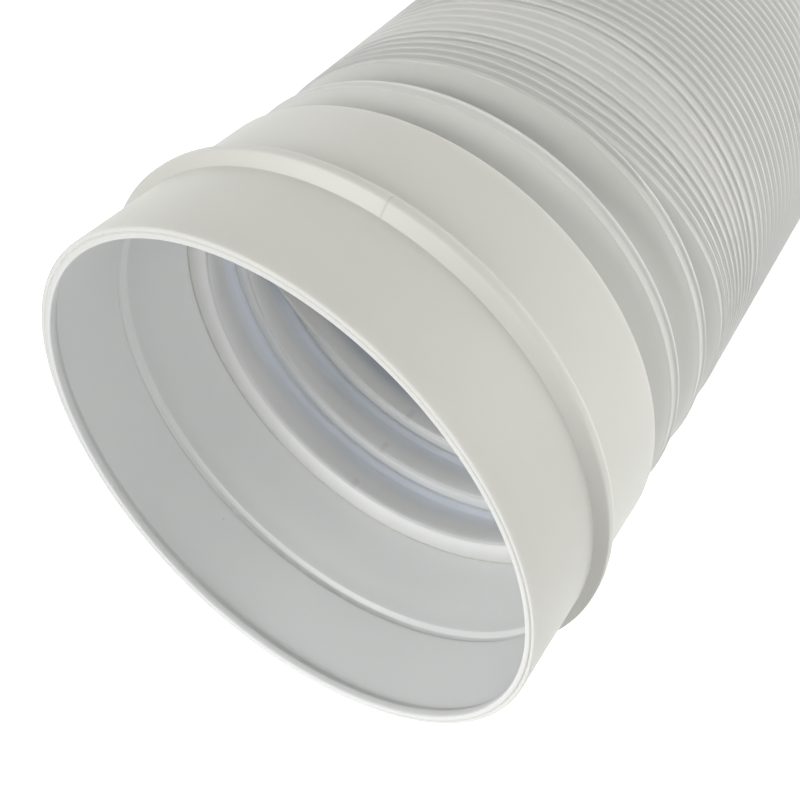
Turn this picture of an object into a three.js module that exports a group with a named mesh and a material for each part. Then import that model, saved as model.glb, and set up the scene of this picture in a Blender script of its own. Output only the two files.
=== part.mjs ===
// A flexible air duct for a 150 mm spigot, pushed nearly shut and standing on its rear collar.
// It is one thin plastic moulding: a smooth collar at each end and a bellows of cone-shaped folds
// between them. Each fold is a bottomless cup. Pulled open, the cups follow each other at a wide
// pitch, and pushed shut they nest like paper cups, at a fine pitch. The cups are separate here,
// because each one moves in the next. Millimetres, +Z up along the duct, origin at the centre of
// the rear mouth. Folds are numbered from the front mouth, which is at the top.
import * as THREE from "three";

// ---- Driving dimensions -------------------------------------------------------------------------

// Collars: each slips over a round spigot.
const spigotDiameter = 150; // the outside of the pipe that a collar slips over
const slipClearance = 0.1; // between that pipe and the collar's lip, all round
const lipThickness = 2.9; // the mouth is thickened to a firm rim
const lipLength = 3; // how deep the thick rim reaches
const edgeChamfer = 0.4; // takes the sharpness off the rim
const collarWall = 1.6;
const collarLength = 62.8; // from the mouth to the collar's square inner edge
const beadFromMouth = 28.7; // to the near foot of the bead that a hose clip sits behind
const beadWidth = 7.8;
const beadHeight = 3.4;
const grooveFromMouth = 28; // a narrow groove runs round the inside, under the bead
const grooveWidth = 3.8;
const grooveDepth = 1.1;

// Folds of the bellows. A cup's wide end is its crest, and its narrow end is its root.
const crestInset = 1; // a crest lies this much inside the collar's outer face
const foldDepth = 5.8; // crest to root, both on the outside
const foldWall = 0.6; // of an open cup, and of the web that joins it to its neighbour
const foldedWall = 0.9; // of a nested cup, with its web turned in against it
const shoulderBulge = 0.75; // how far an open cup's shoulder stands out from a straight cone
const openPitch = 18.05; // crest to crest of a fold that is pulled open
const nestedPitch = 3.7; // of folds that are pushed into each other
const openFolds = 2; // next to the front collar
const nestedFolds = 40;
const leaningFoldOpening = 0.5; // how far the fold between them is out: 0 is nested, 1 is open
const seatGap = 0.3; // between pieces that touch

// Round stretches are drawn with this many sides.
const collarSides = 56;
const openSides = 48;
const nestedSides = 36;
const beadSteps = 4;
const shoulderSteps = 3;

// ---- Sizes worked out from them -----------------------------------------------------------------

const lipRadius = spigotDiameter / 2 + slipClearance;
const collarRadius = lipRadius + lipThickness;
const crestRadius = collarRadius - crestInset;
const rootRadius = crestRadius - foldDepth;
const cupLength = openPitch - foldWall - 2 * seatGap; // crest to root
const leaningPitch = nestedPitch + leaningFoldOpening * (openPitch - nestedPitch);

// Crest heights, from the rear mouth up. Crests look down: each cup is wide below.
const lastCrest = collarLength + nestedPitch;
const leaningCrest = lastCrest + nestedFolds * nestedPitch; // of the fold below the open ones
const lowestOpenCrest = leaningCrest + leaningPitch;
const frontCollarFrom = lowestOpenCrest + openFolds * openPitch;
const ductLength = frontCollarFrom + collarLength;

// ---- Helpers ------------------------------------------------------------------------------------

// A body of revolution about Z from a closed outline of [radius, height] points, which runs up the
// outside and back down the inside.
function revolve(outline, sides) {
  const points = [...outline, outline[0]].map(([radius, height]) => new THREE.Vector2(radius, height));
  return new THREE.LatheGeometry(points, sides).rotateX(Math.PI / 2);
}

// A bulge in a wall as an arc: it rises from the wall's radius by height and comes back to it.
function bulge(wallRadius, from, width, height, steps) {
  const radius = (height * height + (width * width) / 4) / (2 * height);
  const half = Math.asin(width / 2 / radius);
  return Array.from({ length: steps + 1 }, (_, i) => {
    const angle = -half + (2 * half * i) / steps;
    return [
      wallRadius + height - radius * (1 - Math.cos(angle)),
      from + width / 2 + radius * Math.sin(angle),
    ];
  });
}

const duct = new THREE.Group();
duct.name = "flexible_air_duct";

const collarPlastic = () => new THREE.MeshStandardMaterial({ color: 0xdcdcd7, roughness: 0.42, metalness: 0 });
const foldPlastic = () => new THREE.MeshStandardMaterial({ color: 0xd6d7d2, roughness: 0.5, metalness: 0 });

function add(name, geometry, material) {
  const mesh = new THREE.Mesh(geometry, material);
  mesh.name = name;
  duct.add(mesh);
  return mesh;
}

// ---- Collars ------------------------------------------------------------------------------------

// A collar with its mouth at height 0, as an outline that runs up the outside to the top of the
// wall, takes in what sits there, and comes back down the inside.
function collarGeometry(top) {
  const wallInside = collarRadius - collarWall;
  const bead = bulge(collarRadius, beadFromMouth, beadWidth, beadHeight, beadSteps);
  const groove = bulge(wallInside, grooveFromMouth, grooveWidth, grooveDepth, beadSteps).reverse();
  const outline = [
    [collarRadius - edgeChamfer, 0],
    [collarRadius, edgeChamfer],
    ...bead,
    [collarRadius, collarLength],
    ...top,
    ...groove,
    [wallInside, lipLength],
    [lipRadius, lipLength],
    [lipRadius, edgeChamfer],
    [lipRadius + edgeChamfer, 0],
  ];
  return revolve(outline, collarSides);
}

// The front collar ends in a square edge.
const squareEdge = [[collarRadius - collarWall, collarLength]];
const frontCollar = add("front_collar", collarGeometry(squareEdge), collarPlastic());
frontCollar.rotation.x = Math.PI; // mouth up
frontCollar.position.z = ductLength;

// The rear collar goes on as a neck, which is the cone that the last cup nests on.
const neck = [
  [crestRadius, collarLength],
  [rootRadius, collarLength + cupLength],
  [rootRadius - foldedWall, collarLength + cupLength],
  [crestRadius - foldedWall, collarLength],
];
add("rear_collar", collarGeometry(neck), collarPlastic());

// ---- Cups ---------------------------------------------------------------------------------------

// A cup with its crest's edge at height 0 and its root above it. The bulge rounds its shoulder.
function cupGeometry(wall, roundness, steps, sides) {
  const outside = Array.from({ length: steps + 1 }, (_, i) => {
    const share = i / steps;
    const cone = crestRadius - foldDepth * share;
    return [cone + roundness * 4 * share * (1 - share), cupLength * share];
  });
  const inside = outside.map(([radius, height]) => [radius - wall, height]).reverse();
  return revolve([...outside, ...inside], sides);
}

function addCup(number, geometry, crest) {
  add("fold_ring_" + number, geometry, foldPlastic()).position.z = crest;
}

for (let i = 0; i <= openFolds; i++) {
  const crest = i < openFolds ? frontCollarFrom - (i + 1) * openPitch : leaningCrest;
  addCup(i + 1, cupGeometry(foldWall, shoulderBulge, shoulderSteps, openSides), crest);
}
for (let i = 1; i <= nestedFolds; i++) {
  addCup(openFolds + 1 + i, cupGeometry(foldedWall, 0, 1, nestedSides), leaningCrest - i * nestedPitch);
}

// ---- Webs ---------------------------------------------------------------------------------------

// The thin wall that joins a square edge to the root below it. Pulled open it lies flat, like a
// washer, under the whole edge.
function flatWebGeometry(edgeRadius) {
  const outline = [
    [edgeRadius, 0],
    [edgeRadius, foldWall],
    [rootRadius - foldWall, foldWall],
    [rootRadius - foldWall, 0],
  ];
  return revolve(outline, openSides);
}

// The same wall of the leaning fold, half-way: it has begun to turn inside out, and slopes up from
// the crest that it hangs from to the root of the cup inside.
function slopingWebGeometry() {
  const top = cupLength - leaningPitch;
  const topInside = rootRadius + seatGap;
  const bottomOutside = crestRadius - foldWall - seatGap;
  const outline = [
    [bottomOutside, 0],
    [topInside + foldWall, top],
    [topInside, top],
    [bottomOutside - foldWall, 0],
  ];
  return revolve(outline, openSides);
}

for (let i = 0; i < openFolds; i++) {
  const web = flatWebGeometry(i === 0 ? collarRadius : crestRadius);
  const edge = frontCollarFrom - i * openPitch;
  add("fold_web_" + (i + 1), web, foldPlastic()).position.z = edge - seatGap - foldWall;
}
add("fold_web_" + (openFolds + 1), slopingWebGeometry(), foldPlastic()).position.z = lowestOpenCrest;

export default duct;
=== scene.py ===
# %% [markdown]
# # A flexible air duct
# The frame that is loaded here is the finished construction: every ring at its real size, and
# every joint. This file only dresses it. On the real duct the collars and folds are one thin wall
# of white polypropylene, so each piece below is a thin ring that meets the next one.

# %% Load the frame
import math

import bmesh
import bpy
import numpy as np
from mathutils import Matrix, Vector


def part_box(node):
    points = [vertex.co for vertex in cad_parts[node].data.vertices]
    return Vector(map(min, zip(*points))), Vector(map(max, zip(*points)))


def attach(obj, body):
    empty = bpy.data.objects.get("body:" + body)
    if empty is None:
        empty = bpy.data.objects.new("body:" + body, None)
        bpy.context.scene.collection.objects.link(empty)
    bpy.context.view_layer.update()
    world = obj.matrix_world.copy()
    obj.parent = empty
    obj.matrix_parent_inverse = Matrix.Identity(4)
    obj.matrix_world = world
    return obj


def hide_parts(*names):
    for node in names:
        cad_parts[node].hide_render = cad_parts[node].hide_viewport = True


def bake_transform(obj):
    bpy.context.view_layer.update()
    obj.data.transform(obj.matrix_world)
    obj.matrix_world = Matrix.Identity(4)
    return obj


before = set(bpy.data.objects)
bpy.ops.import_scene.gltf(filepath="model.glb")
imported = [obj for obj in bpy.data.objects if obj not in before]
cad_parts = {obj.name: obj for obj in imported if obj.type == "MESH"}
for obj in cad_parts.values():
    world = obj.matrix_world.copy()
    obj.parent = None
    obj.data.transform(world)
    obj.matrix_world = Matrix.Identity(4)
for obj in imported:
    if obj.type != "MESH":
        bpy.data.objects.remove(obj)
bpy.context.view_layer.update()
scene = bpy.context.scene

# %% [markdown]
# ## Sizes
# Everything is in metres, and `MM` keeps the numbers readable. Heights and radii that belong to the
# construction are read from the frame. The duct stands on its rear collar, with the mouth that the
# picture shows at the top.

# %% Sizes read from the frame
MM = 0.001

collar_low, collar_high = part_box("front_collar")
MOUTH = collar_high.z
FRONT_EDGE = collar_low.z
COLLAR_LENGTH = MOUTH - FRONT_EDGE
RING_COUNT = sum(name.startswith("fold_ring_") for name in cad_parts)
CREST_1, CREST_2 = (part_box(f"fold_ring_{number}")[0].z for number in (1, 2))
CREST_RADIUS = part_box("fold_ring_1")[1].x
CREST_INSET = 1.0 * MM  # a crest lies this much inside the collar's outer face
COLLAR_RADIUS = CREST_RADIUS + CREST_INSET
OPEN_PITCH = FRONT_EDGE - CREST_1
LAST_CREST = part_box(f"fold_ring_{RING_COUNT}")[0].z
NESTED_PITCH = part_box("fold_ring_4")[0].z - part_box("fold_ring_5")[0].z
FOLD_TRAVEL = OPEN_PITCH - NESTED_PITCH
print("mouth at", round(MOUTH / MM, 1), "mm, folds:", RING_COUNT)
print("pitch:", round(OPEN_PITCH / MM, 2), "mm open,", round(NESTED_PITCH / MM, 2), "mm nested")

# %% Sizes that only the surface needs
WALL = 0.6 * MM
WEB_WALL = 0.4 * MM
ROOT_RADIUS = 71.2 * MM  # outside
CUP_LENGTH = 18.9 * MM  # one fold from its crest edge to its root
FINE_STEPS, COARSE_STEPS = 192, 144  # round a ring
facets = [round(math.tau * CREST_RADIUS / steps / MM, 2) for steps in (FINE_STEPS, COARSE_STEPS)]
print("facets:", facets, "mm long")

# %% [markdown]
# ## The mouth is squeezed, and two folds lean
# A thin collar that nothing holds goes slightly oval. The squeeze is strongest at the lip and dies
# out along the duct, so one function can move the points of every ring, whatever piece they
# belong to.
#
# The third fold is shut on one side and open on the other, and on the far side, which shows through
# the mouth, the fourth has started to open too. Both are a shift along the duct that depends on the
# angle round it, and the nested folds behind take it up between them.

# %% Squeeze and lean
PHOTO_SIDE = math.radians(-90)  # the camera looks at this side of the duct
LIP_SQUEEZE = 0.066  # as a share of the radius
COLLAR_END_SQUEEZE = 0.021
LONG_AXIS = math.radians(-47)  # the mouth is widest here
# Turns from the photo's side, clockwise from above: where a fold starts to open and where it is open.
THIRD_OPENS = (math.radians(-12), math.radians(68))
FOURTH_OPENS = (math.radians(85), math.radians(125))
SHUTS = (math.radians(190), math.radians(262))  # both start to shut at the first and are shut at the second
THIRD_FOLDS = 8  # nested folds that take up the third fold's opening
FOURTH_OPENING = 10 * MM
FOURTH_FROM, FOURTH_FOLDS = 12, 16  # down to crest 12 all sink by that much, and the next 16 take it up


def smooth(x):
    """0 below 0, 1 above 1, and an S-curve between; x may be an array."""
    x = np.clip(x, 0.0, 1.0)
    return x * x * (3 - 2 * x)


def between(turn, span):
    """0 before the first of two turns, 1 after the second, and an S-curve between."""
    return smooth((turn - span[0]) / (span[1] - span[0]))


def squeeze(height, angle):
    """How much wider the duct is than a circle at these heights and angles."""
    depth = (MOUTH - height) / COLLAR_LENGTH
    collar = LIP_SQUEEZE + (COLLAR_END_SQUEEZE - LIP_SQUEEZE) * depth
    bellows = COLLAR_END_SQUEEZE * (1 - smooth((FRONT_EDGE - height) / (2 * OPEN_PITCH)))
    return 1 + np.where(depth <= 1, collar, bellows) * np.cos(2 * (angle - LONG_AXIS))


def opening(angle, opens):
    """0 to 1: how far a fold that opens between these two turns is open at these angles."""
    turn = (PHOTO_SIDE - angle) % math.tau
    turn = np.where(turn > SHUTS[1], turn - math.tau, turn)
    return between(turn, opens) - between(turn, SHUTS)


def sink(number, angle):
    """How far crest number is lowered at these angles."""
    third = float(np.clip(1 - (number - 3) / THIRD_FOLDS, 0, 1)) if number >= 3 else 0.0
    fourth = float(np.clip(1 - (number - FOURTH_FROM) / FOURTH_FOLDS, 0, 1)) if number >= 4 else 0.0
    by_third = third * FOLD_TRAVEL * opening(angle, THIRD_OPENS)
    return by_third + fourth * FOURTH_OPENING * opening(angle, FOURTH_OPENS)


print("lip axis", round(2 * COLLAR_RADIUS * float(squeeze(MOUTH, LONG_AXIS)) / MM, 1), "mm long")

# %% [markdown]
# ## Rings from an outline
# Every piece is turned: its cross-section is drawn once as a few points and spun round the duct's
# axis. A lathe does the same. Corners get a small arc first, because a moulded edge is never
# perfectly sharp and the arc is what catches the light.

# %% Outline helpers
LONGEST_REACH = 0.45  # of a side, so that the arcs at its two ends never meet


def rounded(corners, steps=5):
    """A closed outline with each (radius, height, rounding) corner replaced by a short arc."""
    points = []
    for i, (r, z, rounding) in enumerate(corners):
        here = Vector((r, z))
        before = Vector(corners[i - 1][:2]) - here
        after = Vector(corners[(i + 1) % len(corners)][:2]) - here
        if rounding <= 0:
            points.append(here)
            continue
        half = before.angle(after) / 2
        reach = min(rounding / math.tan(half), LONGEST_REACH * min(before.length, after.length))
        start, end = here + before.normalized() * reach, here + after.normalized() * reach
        for k in range(steps + 1):
            t = k / steps
            points.append(start * (1 - t) ** 2 + here * 2 * t * (1 - t) + end * t**2)
    return points


def spun(name, outline, closed=True, steps=FINE_STEPS):
    """Spins an outline of (radius, height) points once round Z and returns the new object."""
    bm = bmesh.new()
    verts = [bm.verts.new((r, 0, z)) for r, z in outline]
    ends = verts[1:] + verts[:1] if closed else verts[1:]
    edges = [bm.edges.new(pair) for pair in zip(verts, ends)]
    bmesh.ops.spin(
        bm, geom=verts + edges, cent=(0, 0, 0), axis=(0, 0, 1), angle=math.tau, steps=steps, use_merge=True
    )
    bmesh.ops.recalc_face_normals(bm, faces=bm.faces)
    mesh = bpy.data.meshes.new(name)
    bm.to_mesh(mesh)
    bm.free()
    mesh.shade_smooth()
    piece = bpy.data.objects.new(name, mesh)
    scene.collection.objects.link(piece)
    return piece


def move_points(piece, drop=None):
    """Lowers a ring's points by drop(angle, share of its height), then squeezes it like its neighbours."""
    points = np.empty(3 * len(piece.data.vertices))
    piece.data.vertices.foreach_get("co", points)
    x, y, z = points.reshape(-1, 3).T
    angle = np.arctan2(y, x)
    if drop:
        z -= drop(angle, (z - z.min()) / (z.max() - z.min()))
    grown = squeeze(z, angle)
    x *= grown
    y *= grown
    piece.data.vertices.foreach_set("co", points)
    piece.data.update()


# %% [markdown]
# ### Values that the finish reads
# A finish can differ from place to place if the mesh says where it is. Each value is kept as a named
# attribute on the points, which the material reads. "inside" is how far a point faces inwards, and
# "hollow" how deep it lies between two roots. Seen from the mouth, the hollows look cooler than the
# rest, because the light in there has come through the wall or bounced off it several times. The
# material paints this in: the hollows get a darker, cooler colour, which is painted shade, and the
# inside faces a lighter colour than the outside, which is painted light.

# %% Write an attribute
RIM_BLEND = 2  # how quickly the finish changes over where a rim turns inwards


def write_attribute(piece, name, values):
    piece.data.attributes.new(name, "FLOAT", "POINT").data.foreach_set("value", np.asarray(values, float))


def read_points(piece, kind="co"):
    """The points of a mesh, or their normals, as rows of x, y and z."""
    rows = np.empty(3 * len(piece.data.vertices))
    piece.data.vertices.foreach_get(kind, rows)
    return rows.reshape(-1, 3)


def mark_hollow(piece):
    """How deep a point of a fold lies in the hollow between two roots; made while the ring is round."""
    points = read_points(piece)
    out = np.hypot(points[:, 0], points[:, 1]) - ROOT_RADIUS
    hollow = smooth(out / (CREST_RADIUS - ROOT_RADIUS))
    write_attribute(piece, "hollow", hollow)
    return hollow


def mark_inside(piece):
    """1 where a surface faces the duct's axis and 0 where it faces away."""
    facing, points = read_points(piece, "normal"), read_points(piece)
    outward = (facing[:, :2] * points[:, :2]).sum(axis=1) / np.hypot(points[:, 0], points[:, 1])
    write_attribute(piece, "inside", np.clip(0.5 - RIM_BLEND * outward, 0, 1))


# %% [markdown]
# ## The collars
# A collar slips over a pipe. Its mouth is a thick rim with a fine groove round its end face, where
# the two halves of the mould met. Behind it a hollow bead stands out all round, for a hose clip to
# sit behind, and the wall ends in a square edge. Depth below is measured from the mouth, so that
# the same outline makes both ends.

# %% Collar outline
LIP_INSIDE = 75.1 * MM
COLLAR_WALL = 1.6 * MM
LIP_GROOVE_AT = 76.8 * MM
LIP_GROOVE_WIDTH = 0.6 * MM
LIP_GROOVE_DEPTH = 0.5 * MM
# The bead and the groove behind it, as (depth from its start, height, rounding) corners.
BEAD_AT = 28.7 * MM
BEAD = [(0, 0, 0.3), (2.2, 3.2, 0.9), (4.9, 3.2, 2.4), (8.2, 0, 1.6)]
INNER_GROOVE_AT = 28.0 * MM
INNER_GROOVE = [(0, 0, 0.5), (1.2, 1.1, 0.8), (2.4, 1.1, 0.8), (3.8, 0, 0.8)]


def swelling(corners, radius, start):
    return [(radius + height * MM, start + depth * MM, rounding * MM) for depth, height, rounding in corners]


def collar_outline():
    """The collar as (radius, depth, rounding) corners: outside, square edge, inside, end face."""
    inside = COLLAR_RADIUS - COLLAR_WALL
    groove = LIP_GROOVE_WIDTH / 2
    return [
        (COLLAR_RADIUS, 0, 0.6 * MM),
        *swelling(BEAD, COLLAR_RADIUS, BEAD_AT),
        (COLLAR_RADIUS, COLLAR_LENGTH, 0.25 * MM),
        (inside, COLLAR_LENGTH, 0.3 * MM),
        *reversed(swelling(INNER_GROOVE, inside, INNER_GROOVE_AT)),
        (inside, 4.0 * MM, 1.0 * MM),
        (LIP_INSIDE, 2.2 * MM, 0.8 * MM),
        (LIP_INSIDE, 0, 0.6 * MM),
        (LIP_GROOVE_AT - groove, 0, 0.1 * MM),
        (LIP_GROOVE_AT, LIP_GROOVE_DEPTH, 0.1 * MM),
        (LIP_GROOVE_AT + groove, 0, 0.1 * MM),
    ]


# %% Make the front collar
front_collar = spun("front_collar_shell", [(r, MOUTH - d) for r, d in rounded(collar_outline())])
move_points(front_collar)
mark_inside(front_collar)
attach(front_collar, "front_collar")
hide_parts("front_collar")
print("front collar:", len(front_collar.data.polygons), "faces")

# %% [markdown]
# ## One fold
# A fold is a cup without a bottom. Its crest edge is the wide end, and from there a round shoulder
# runs in to the root. A fine ridge follows the crest edge and a second line lies a little over 4 mm
# behind it: that is as far as the next cup reaches over it when the two are pushed together. The
# band between them is a shallow valley, and it is what stays in view on the nested folds.

# %% The cup's outside radius
CREST_RIDGE_AT, RIDGE_WIDTH = 0.9 * MM, 0.45 * MM
BAND_LINE_AT, LINE_WIDTH = 4.3 * MM, 0.3 * MM
CREST_RIDGE = 0.28 * MM
BAND_LINE = 0.2 * MM
BAND_DIP = 0.3 * MM
SHOULDER_POWER = 1.4  # 1 would start the shoulder with a kink, 2 with a long flat


def bell(rise, middle, width):
    return math.exp(-(((rise - middle) / width) ** 2))


def cup_radius(rise):
    """Outside radius of a cup at this height above its crest edge."""
    edge, band = CREST_RADIUS - CREST_RIDGE, CREST_RADIUS - CREST_RIDGE - BAND_DIP
    valley = edge + (band - edge) * float(smooth((rise - CREST_RIDGE_AT) / (2 * RIDGE_WIDTH)))
    run_in = max(0.0, rise - BAND_LINE_AT) / (CUP_LENGTH - BAND_LINE_AT)
    shoulder = (band - ROOT_RADIUS) * math.sin(run_in * math.pi / 2) ** SHOULDER_POWER
    ridge = CREST_RIDGE * bell(rise, CREST_RIDGE_AT, RIDGE_WIDTH)
    return valley - shoulder + ridge + BAND_LINE * bell(rise, BAND_LINE_AT, LINE_WIDTH)


# Heights above the crest edge, in mm, that draw the ridge and the line with enough points.
BAND_RISES = [0.1, 0.35, 0.6, 0.9, 1.2, 1.5, 1.9, 2.8, 3.7, 4.0, 4.15, 4.3, 4.45, 4.6, 5.0]
LINE_FROM, LINE_TO = 3.8 * MM, 4.6 * MM  # the line isn't repeated on the inside


def cup_outline(edge, shoulder_steps):
    """Closed outline of the cup whose crest edge is at height edge."""
    shoulder_from = BAND_RISES[-1] * MM
    steps = range(1, shoulder_steps + 1)
    rises = [rise * MM for rise in BAND_RISES]
    rises += [shoulder_from + (CUP_LENGTH - shoulder_from) * i / shoulder_steps for i in steps]
    outside = [(cup_radius(rise), edge + rise) for rise in rises]
    plain = [rise for rise in reversed(rises) if not LINE_FROM < rise < LINE_TO]
    inside = [(cup_radius(rise) - WALL, edge + rise) for rise in plain]
    root_end = [(ROOT_RADIUS - WALL / 2, edge + CUP_LENGTH + WALL / 3)]
    crest_end = [(CREST_RADIUS - CREST_RIDGE - WALL / 2, edge)]
    return outside + root_end + inside + crest_end


print("a cup is", round((cup_radius(0) - cup_radius(CUP_LENGTH)) / MM, 2), "mm deep at its root")

# %% [markdown]
# ## Where each fold lies
# Counting from the mouth, the first two folds are open, the third leans, and all others are nested.
# The construction has the third fold half open all round, so the nested folds behind its shut side
# stand a little further apart here, until the two agree.

# %% Crest heights
SETTLE_FOLDS = 12  # nested folds that share out the difference


def crest_height(number):
    """Height of crest edge 1, 2, 3, ... from the mouth, where the third fold is shut."""
    if number <= 2:
        return (CREST_1, CREST_2)[number - 1]
    built = LAST_CREST + (RING_COUNT - number) * NESTED_PITCH
    extra = CREST_2 - NESTED_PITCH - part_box("fold_ring_3")[0].z
    return built + extra * float(1 - smooth((number - 3) / SETTLE_FOLDS))


print("crests 3 and last at", round(crest_height(3) / MM, 1), round(crest_height(RING_COUNT) / MM, 1), "mm")

# %% Make the cups
OPEN_CUPS = 3  # these show their shoulders, so they get more points
FINE_SHOULDER, COARSE_SHOULDER = 14, 6
cups = []
for number in range(1, RING_COUNT + 1):
    near = number <= OPEN_CUPS
    cup = spun(
        f"fold_cup_{number:02d}",
        cup_outline(crest_height(number), FINE_SHOULDER if near else COARSE_SHOULDER),
        steps=FINE_STEPS if near else COARSE_STEPS,
    )
    rises = read_points(cup)[:, 2] - crest_height(number)
    write_attribute(cup, "ridge", [bell(rise, CREST_RIDGE_AT, RIDGE_WIDTH) for rise in rises])
    write_attribute(cup, "band_line", [bell(rise, BAND_LINE_AT, LINE_WIDTH) for rise in rises])
    mark_hollow(cup)
    move_points(cup, lambda angle, _: sink(number, angle))
    mark_inside(cup)
    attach(cup, f"fold_ring_{number}")
    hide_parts(f"fold_ring_{number}")
    cups.append(cup)
print("cups:", len(cups), "of", len(cups[0].data.polygons), "and", len(cups[-1].data.polygons), "faces")

# %% [markdown]
# ## The thin webs
# From each crest edge a thin web goes to the root of the cup below. On an open fold it slopes in
# under the edge. On a nested fold it is turned inside out and lies between two cups. It is a single
# sheet with a Solidify modifier, which gives it its thickness.
#
# A web lies between two pieces, so where the fold leans, its lean is blended: its edge end sinks with
# the cup or collar above, its root end with the cup below, and the points between by their share of
# the way, so that each whole end ring stays with its own piece.

# %% Make the webs
WEB_STEPS = 16
INSIDE_COLLAR = 3.4 * MM  # the first web starts this far inside the collar
INSIDE_CREST = 0.3 * MM  # and the others this far inside a crest


def web_line(edge_radius, start, root_height, lower_edge):
    """(radius, height) points from a crest edge or collar in to the root of the cup below."""
    folded = root_height - start > OPEN_PITCH / 2  # turned inside out, between two cups
    points = []
    for i in range(WEB_STEPS + 1):
        share = i / WEB_STEPS
        height = start + (root_height - start) * share
        radius = edge_radius + (ROOT_RADIUS - WALL / 2 - edge_radius) * share
        if folded:
            radius = max(radius, cup_radius(height - lower_edge) + WEB_WALL)
            radius = min(radius, cup_radius(height - start) - WALL / 2)
        points.append((radius, height))
    return points


def add_web(number):
    """The web between cup number, or the front collar for 0, and what is below it."""
    last = number == RING_COUNT
    start, radius = crest_height(number) + INSIDE_CREST, CREST_RADIUS - WALL / 2
    if number == 0:
        start, radius = FRONT_EDGE + INSIDE_COLLAR, COLLAR_RADIUS - COLLAR_WALL
    lower_edge = COLLAR_LENGTH if last else crest_height(number + 1)
    root_height = lower_edge + CUP_LENGTH
    line = web_line(radius, start, root_height, lower_edge)
    steps = FINE_STEPS if number < OPEN_CUPS else COARSE_STEPS
    web = spun(f"fold_skin_{number:02d}", line, closed=False, steps=steps)
    # This gives the web painted light towards its root (the lighter inside colour), shading through the
    # painted hollow colour to the outside colour at its crest end.
    write_attribute(web, "inside", 1 - mark_hollow(web))
    heights = read_points(web)[:, 2]

    def drop(angle, share):
        to_root = share if root_height > start else 1 - share
        return sink(number, angle) + (sink(number + 1, angle) - sink(number, angle)) * to_root

    move_points(web, drop)
    thick = web.modifiers.new("wall", "SOLIDIFY")
    thick.thickness, thick.offset = WEB_WALL, 0
    points = read_points(web)
    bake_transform(web)
    return web


webs = [add_web(number) for number in range(RING_COUNT + 1)]
for number, web in enumerate(webs[:OPEN_CUPS]):
    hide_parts(f"fold_web_{number + 1}")
print("webs:", len(webs))

# %% [markdown]
# ## The rear collar
# It is the front collar turned over, with one difference: the bellows ends on it in a neck, which
# is the last root and shoulder, and which the last cup covers.

# %% Make the rear collar
NECK_STEPS = 12
rear_corners = collar_outline()
square_edge = next(i for i, corner in enumerate(rear_corners) if corner[1] >= COLLAR_LENGTH)
neck = [BAND_LINE_AT + (CUP_LENGTH - BAND_LINE_AT) * i / NECK_STEPS for i in range(NECK_STEPS + 1)]
neck_outside = [(cup_radius(rise), COLLAR_LENGTH + rise, 0) for rise in neck]
neck_inside = [(r - WALL, d, 0) for r, d, _ in reversed(neck_outside)]
rear_corners[square_edge + 1 : square_edge + 2] = neck_outside + neck_inside
rear_collar = spun("rear_collar_shell", [(r, d) for r, d in rounded(rear_corners)])
mark_inside(rear_collar)
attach(rear_collar, "rear_collar")
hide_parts("rear_collar")
print("rear collar:", len(rear_collar.data.polygons), "faces")

# %% [markdown]
# ## Colour and finish
# The real plastic is white moulded polypropylene. It is soft and waxy rather than glossy: a broad
# sheen, a fine grain from the mould, and a little light that sinks in and comes out again, which
# rounds off the shadows on such a thin wall.

# %% Material helpers


def linear(hex_colour):
    """Linear RGBA for an sRGB hex colour such as "#e4e4e0"."""
    channels = [int(hex_colour[i : i + 2], 16) / 255 for i in (1, 3, 5)]
    return [c / 12.92 if c <= 0.04045 else ((c + 0.055) / 1.055) ** 2.4 for c in channels] + [1.0]


def add_node(tree, kind, settings=(), inputs=(), links=()):
    """Adds a node, sets its properties and input values, and links (input, output socket) pairs."""
    node = tree.nodes.new(kind)
    for key, value in dict(settings).items():
        setattr(node, key, value)
    for key, value in dict(inputs).items():
        node.inputs[key].default_value = value
    for key, socket in dict(links).items():
        tree.links.new(socket, node.inputs[key])
    return node


def new_material(name):
    material = bpy.data.materials.new(name)
    material.use_nodes = True
    material.node_tree.nodes.clear()
    return material, material.node_tree


# %% [markdown]
# ### Small marks
# Where the halves of the mould met, a hair line crosses the bead, and inside the bellows a soft spot
# lies on each root. A lighter colour along the whole crest ridge is a painted highlight; patches of
# the line behind it are rubbed white, where the next cup stops again and again. One dark speck sits
# in the plastic inside the collar. Each mark is a mask from 0 to 1 that mixes in its own colour.

# %% Marks
PARTING_TURN = math.radians(-73)  # the mould's parting plane, as an angle round the duct
PARTING_WIDTH = 0.35 * MM
ROOT_MARK_TURN = math.radians(102)  # where the mould's core left a spot on the roots
ROOT_MARK_WIDTH = 1.6 * MM
SPECK_TURN, SPECK_DEPTH, SPECK_SIZE = math.radians(82), 23.9 * MM, 0.9 * MM
RUB_SIZE = 16 * MM  # from one rubbed patch to the next


def parting_line(tree, place, turn, width):
    """The trace of an upright plane through the duct's axis, at this angle round the duct."""
    across = (math.sin(turn), -math.cos(turn), 0)
    settings = {"operation": "DOT_PRODUCT"}
    offset = add_node(tree, "ShaderNodeVectorMath", settings, {1: across}, {0: place}).outputs["Value"]
    distance = maths(tree, "ABSOLUTE", links={0: offset})
    fade = {"From Min": width / 4, "From Max": width, "To Min": 1.0, "To Max": 0.0}
    return add_node(tree, "ShaderNodeMapRange", (), fade, {"Value": distance}).outputs["Result"]


def maths(tree, operation, values=(), links=()):
    return add_node(tree, "ShaderNodeMath", {"operation": operation}, values, links).outputs["Value"]


def only_outside(tree, mask):
    inside = add_node(tree, "ShaderNodeAttribute", {"attribute_name": "inside"}).outputs["Fac"]
    return maths(tree, "MULTIPLY", links={0: mask, 1: maths(tree, "SUBTRACT", {0: 1.0}, {1: inside})})


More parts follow.
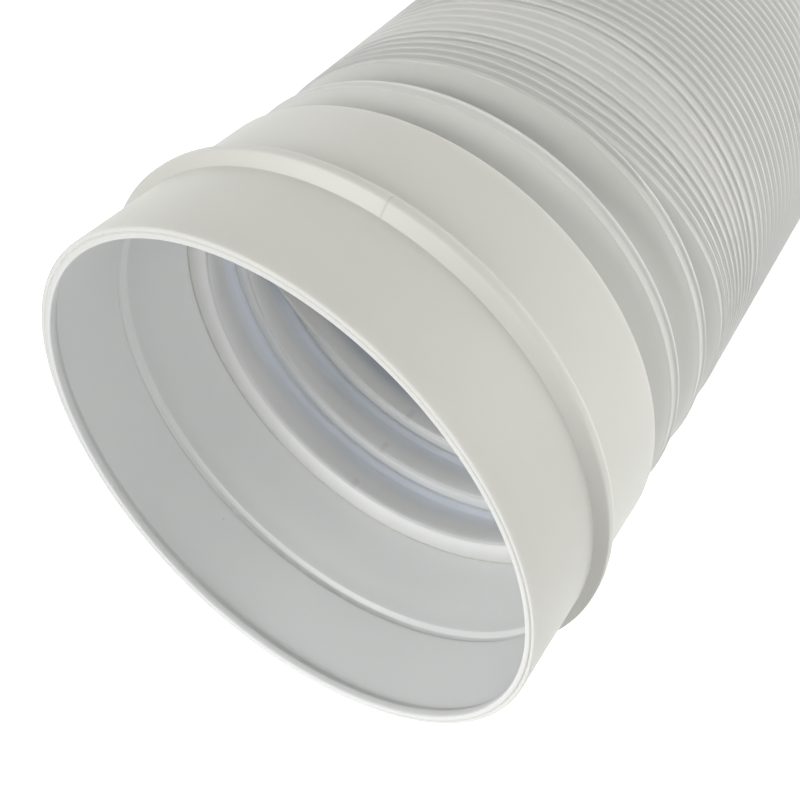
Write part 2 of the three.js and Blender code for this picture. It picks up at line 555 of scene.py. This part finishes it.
def line_on_bead(tree, place):
    middle, half = MOUTH - BEAD_AT - BEAD[-1][0] / 2 * MM, BEAD[-1][0] / 2 * MM
    height = add_node(tree, "ShaderNodeSeparateXYZ", (), (), {"Vector": place}).outputs["Z"]
    there = maths(tree, "COMPARE", {1: middle, 2: half}, {0: height})
    line = parting_line(tree, place, PARTING_TURN, PARTING_WIDTH)
    return only_outside(tree, maths(tree, "MULTIPLY", links={0: line, 1: there}))


def mark_on_roots(tree, place):
    """A soft spot on each root, seen through the mouth."""
    flat = add_node(tree, "ShaderNodeVectorMath", {"operation": "MULTIPLY"}, {1: (1, 1, 0)}, {0: place})
    flat = {0: flat.outputs["Vector"]}
    radius = add_node(tree, "ShaderNodeVectorMath", {"operation": "LENGTH"}, (), flat).outputs["Value"]
    there = maths(tree, "LESS_THAN", {1: ROOT_RADIUS + WALL}, {0: radius})
    spot = parting_line(tree, place, ROOT_MARK_TURN, ROOT_MARK_WIDTH)
    return maths(tree, "MULTIPLY", links={0: spot, 1: there})


def speck(tree, place):
    radius = COLLAR_RADIUS - COLLAR_WALL
    spot = (radius * math.cos(SPECK_TURN), radius * math.sin(SPECK_TURN), MOUTH - SPECK_DEPTH)
    away = add_node(tree, "ShaderNodeVectorMath", {"operation": "DISTANCE"}, {1: spot}, {0: place})
    fade = {"From Min": SPECK_SIZE / 2, "From Max": SPECK_SIZE, "To Min": 1.0, "To Max": 0.0}
    return add_node(tree, "ShaderNodeMapRange", (), fade, {"Value": away.outputs["Value"]}).outputs["Result"]


def ridge_highlight_and_rubs(tree, place):
    """Painted highlight along the whole crest ridge, and rubbed patches of the line behind it."""
    ridge = add_node(tree, "ShaderNodeAttribute", {"attribute_name": "ridge"}).outputs["Fac"]
    line = add_node(tree, "ShaderNodeAttribute", {"attribute_name": "band_line"}).outputs["Fac"]
    rub = add_node(tree, "ShaderNodeTexNoise", (), {"Scale": 1 / RUB_SIZE, "Detail": 2.0}, {"Vector": place})
    fade = {"From Min": 0.5, "From Max": 0.7}
    patches = add_node(tree, "ShaderNodeMapRange", (), fade, {"Value": rub.outputs["Fac"]}).outputs["Result"]
    # The ridge term is a painted highlight; the patches on the band line are rub marks.
    return only_outside(tree, maths(tree, "MULTIPLY_ADD", links={0: patches, 1: line, 2: ridge}))


# %% The plastic
OUTSIDE, OUTSIDE_DEEP = "#dcdbd5", "#d7d7d1"
# Painted light and shade: the inside colour is lighter than the outside, and the hollow colour darker and
# bluer, for the light deep between two roots.
INSIDE, HOLLOW_SHADE = "#eaebea", "#ccd3df"
# The last of these colours is partly a painted highlight, along the crest ridge, and partly rub marks on the
# line behind it.
PARTING, ROOT_MARK, SPECK, RIDGE_HIGHLIGHT_AND_RUBS = "#cdcdc8", "#dfdfdf", "#8c8c88", "#eaeae6"
GRAIN, GRAIN_STRENGTH = 0.9 * MM, 0.06  # drawn about three times as coarse as it is, so that it shows
CLOUD = 45 * MM  # the slow change of shade and gloss across a moulding
MARK_STRENGTH = 0.5
RELIEF = 0.1 * MM
SINK_IN = 2.5 * MM  # how far light travels under the surface


def mix_colour(tree, first, second, share):
    """A colour between two, each a hex colour or an output socket."""
    values = {key: linear(c) for key, c in (("A", first), ("B", second)) if isinstance(c, str)}
    links = {key: c for key, c in (("A", first), ("B", second)) if not isinstance(c, str)}
    links["Factor"] = share
    return add_node(tree, "ShaderNodeMix", {"data_type": "RGBA"}, values, links).outputs["Result"]


def polypropylene(name, marks):
    """Moulded polypropylene with (mask function, colour) marks."""
    material, tree = new_material(name)
    place = add_node(tree, "ShaderNodeTexCoord").outputs["Object"]
    inside = add_node(tree, "ShaderNodeAttribute", {"attribute_name": "inside"}).outputs["Fac"]
    cloud = add_node(tree, "ShaderNodeTexNoise", (), {"Scale": 1 / CLOUD, "Detail": 3.0}, {"Vector": place})
    colour = mix_colour(tree, OUTSIDE, OUTSIDE_DEEP, cloud.outputs["Fac"])
    hollow = add_node(tree, "ShaderNodeAttribute", {"attribute_name": "hollow"}).outputs["Fac"]
    # Painted light on the inner faces, and painted shade in their hollows.
    colour = mix_colour(tree, colour, mix_colour(tree, INSIDE, HOLLOW_SHADE, hollow), inside)
    grain = add_node(tree, "ShaderNodeTexNoise", (), {"Scale": 1 / GRAIN, "Detail": 2.0}, {"Vector": place})
    relief = {"Strength": GRAIN_STRENGTH, "Distance": RELIEF}
    normal = add_node(tree, "ShaderNodeBump", (), relief, {"Height": grain.outputs["Fac"]}).outputs["Normal"]
    for mask_of, mark_colour in marks:
        mask = mask_of(tree, place)
        colour = mix_colour(tree, colour, mark_colour, mask)
        links = {"Height": mask, "Normal": normal}
        relief = {"Strength": MARK_STRENGTH, "Distance": RELIEF}
        normal = add_node(tree, "ShaderNodeBump", (), relief, links).outputs["Normal"]
    gloss = {"To Min": 0.38, "To Max": 0.5}
    roughness = add_node(tree, "ShaderNodeMapRange", (), gloss, {"Value": cloud.outputs["Fac"]})
    shader = add_node(
        tree,
        "ShaderNodeBsdfPrincipled",
        inputs={
            "IOR": 1.49,
            "Subsurface Weight": 0.7,
            "Subsurface Radius": (1.0, 1.0, 1.0),
            "Subsurface Scale": SINK_IN,
        },
        links={"Base Color": colour, "Normal": normal, "Roughness": roughness.outputs["Result"]},
    )
    add_node(tree, "ShaderNodeOutputMaterial", links={"Surface": shader.outputs["BSDF"]})
    return material


collar_plastic = polypropylene("white_polypropylene_collar", [(line_on_bead, PARTING), (speck, SPECK)])
fold_plastic = polypropylene("white_polypropylene_fold", [(ridge_highlight_and_rubs, RIDGE_HIGHLIGHT_AND_RUBS), (mark_on_roots, ROOT_MARK)])
for piece in (front_collar, rear_collar):
    piece.data.materials.append(collar_plastic)
for piece in cups + webs:
    piece.data.materials.append(fold_plastic)
print("materials:", [material.name for material in bpy.data.materials if "polypropylene" in material.name])

# %% [markdown]
# ## Studio
# The floor is plain and white. It takes the duct's shadow as any floor does. What the camera sees of
# it is lifted to white by a glow of its own that falls on nothing else, and so is the world.

# %% Floor and world
FLOOR_SIZE = 12.0
FLOOR_GLOW = 0.75
SKY = 0.28  # on the duct. The camera sees 1, which is white
bm = bmesh.new()
bmesh.ops.create_grid(bm, x_segments=1, y_segments=1, size=FLOOR_SIZE / 2)
floor_mesh = bpy.data.meshes.new("floor")
bm.to_mesh(floor_mesh)
bm.free()
floor = bpy.data.objects.new("floor", floor_mesh)
scene.collection.objects.link(floor)

material, tree = new_material("white_floor")
rays = add_node(tree, "ShaderNodeLightPath")
seen = maths(tree, "MAXIMUM", links={0: rays.outputs["Is Camera Ray"], 1: rays.outputs["Is Glossy Ray"]})
matt = add_node(tree, "ShaderNodeBsdfDiffuse", inputs={"Color": linear("#f4f4f2")}).outputs["BSDF"]
glow = add_node(tree, "ShaderNodeEmission", inputs={"Strength": FLOOR_GLOW}).outputs["Emission"]
lit = add_node(tree, "ShaderNodeAddShader", links={0: matt, 1: glow}).outputs["Shader"]
mix = add_node(tree, "ShaderNodeMixShader", links={0: seen, 1: matt, 2: lit})
add_node(tree, "ShaderNodeOutputMaterial", links={"Surface": mix.outputs["Shader"]})
floor.data.materials.append(material)

world = bpy.data.worlds.new("studio")
scene.world = world
world.use_nodes = True
world.node_tree.nodes.clear()
rays = add_node(world.node_tree, "ShaderNodeLightPath")
sky_strength = add_node(
    world.node_tree,
    "ShaderNodeMapRange",
    inputs={"To Min": SKY, "To Max": 1.0},
    links={"Value": rays.outputs["Is Camera Ray"]},
)
sky = add_node(
    world.node_tree,
    "ShaderNodeBackground",
    inputs={"Color": linear("#ffffff")},
    links={"Strength": sky_strength.outputs["Result"]},
)
add_node(world.node_tree, "ShaderNodeOutputWorld", links={"Surface": sky.outputs["Background"]})
print("floor:", FLOOR_SIZE, "m square, sky:", SKY)

# %% [markdown]
# The main lamp stands high, to the left of the camera. A weaker one fills in from the right, and a
# low one behind the duct lights the wall that shows through the mouth. The light on the undersides
# comes up from the floor, off a pool that a small lamp makes on it. Energies are in watts: they make
# a colour render about as it is written.

# %% Lamps
LAMP_AWAY, LAMP_SIZE = 1.6, 0.8
POOL_AWAY, POOL_LAMP_HEIGHT, POOL_LAMP_SIZE = 0.45, 0.12, 0.5
POOL_TURN, STRAIGHT_UP = 45, 89


def soft_light(name, turn, lift, watts, target, distance=LAMP_AWAY, size=LAMP_SIZE):
    """A square area lamp seen from target at this turn from the photo's side, lift above level."""
    angle = PHOTO_SIDE - math.radians(turn)
    away = Vector((math.cos(angle), math.sin(angle), math.tan(math.radians(lift)))).normalized()
    lamp = bpy.data.lights.new(name, "AREA")
    lamp.shape, lamp.size, lamp.energy = "SQUARE", size, watts
    holder = bpy.data.objects.new(name, lamp)
    holder.location = target + away * distance
    holder.rotation_euler = away.to_track_quat("Z", "Y").to_euler()
    holder.visible_camera = False
    scene.collection.objects.link(holder)
    return holder


collar_middle = Vector((0, 0, MOUTH - COLLAR_LENGTH / 2))
soft_light("key", -70, 60, 16.4, collar_middle)
soft_light("fill", 50, 40, 6.8, collar_middle)
soft_light("back", 165, 20, 5.5, collar_middle)
pool_side = PHOTO_SIDE - math.radians(POOL_TURN)
pool = Vector((POOL_AWAY * math.cos(pool_side), POOL_AWAY * math.sin(pool_side), 0))
soft_light("bounce", POOL_TURN, STRAIGHT_UP, 1.25, pool, POOL_LAMP_HEIGHT, POOL_LAMP_SIZE)
print("lamps:", [lamp.name for lamp in bpy.data.lights])

# %% [markdown]
# ## Camera
# The camera was found from the rings in the picture. It stands on the side of the duct, a little
# above its mouth, and is rolled, which is why the upright duct lies across the frame.

# %% Camera
CAMERA_SIDE = 242.9 * MM
CAMERA_ABOVE_MOUTH = 124.4 * MM
LOOK_TURN = math.radians(91.55)
LOOK_DOWN = math.radians(35.97)
ROLL = math.radians(-140.07)
LENS = 47.745  # mm, on a 36 mm sensor

camera = bpy.data.objects.new("camera", bpy.data.cameras.new("camera"))
level = math.cos(LOOK_DOWN)
look = Vector((math.cos(LOOK_TURN) * level, math.sin(LOOK_TURN) * level, -math.sin(LOOK_DOWN)))
facing = look.to_track_quat("-Z", "Y").to_matrix() @ Matrix.Rotation(ROLL, 3, "Z")
camera.matrix_world = Matrix.Translation((0, -CAMERA_SIDE, MOUTH + CAMERA_ABOVE_MOUTH)) @ facing.to_4x4()
camera.data.lens = LENS
camera.data.sensor_width = 36.0
camera.data.clip_start = 0.01
scene.collection.objects.link(camera)
scene.camera = camera
scene.view_settings.view_transform = "Standard"
print("camera:", [round(value / MM) for value in camera.matrix_world.translation], "mm")
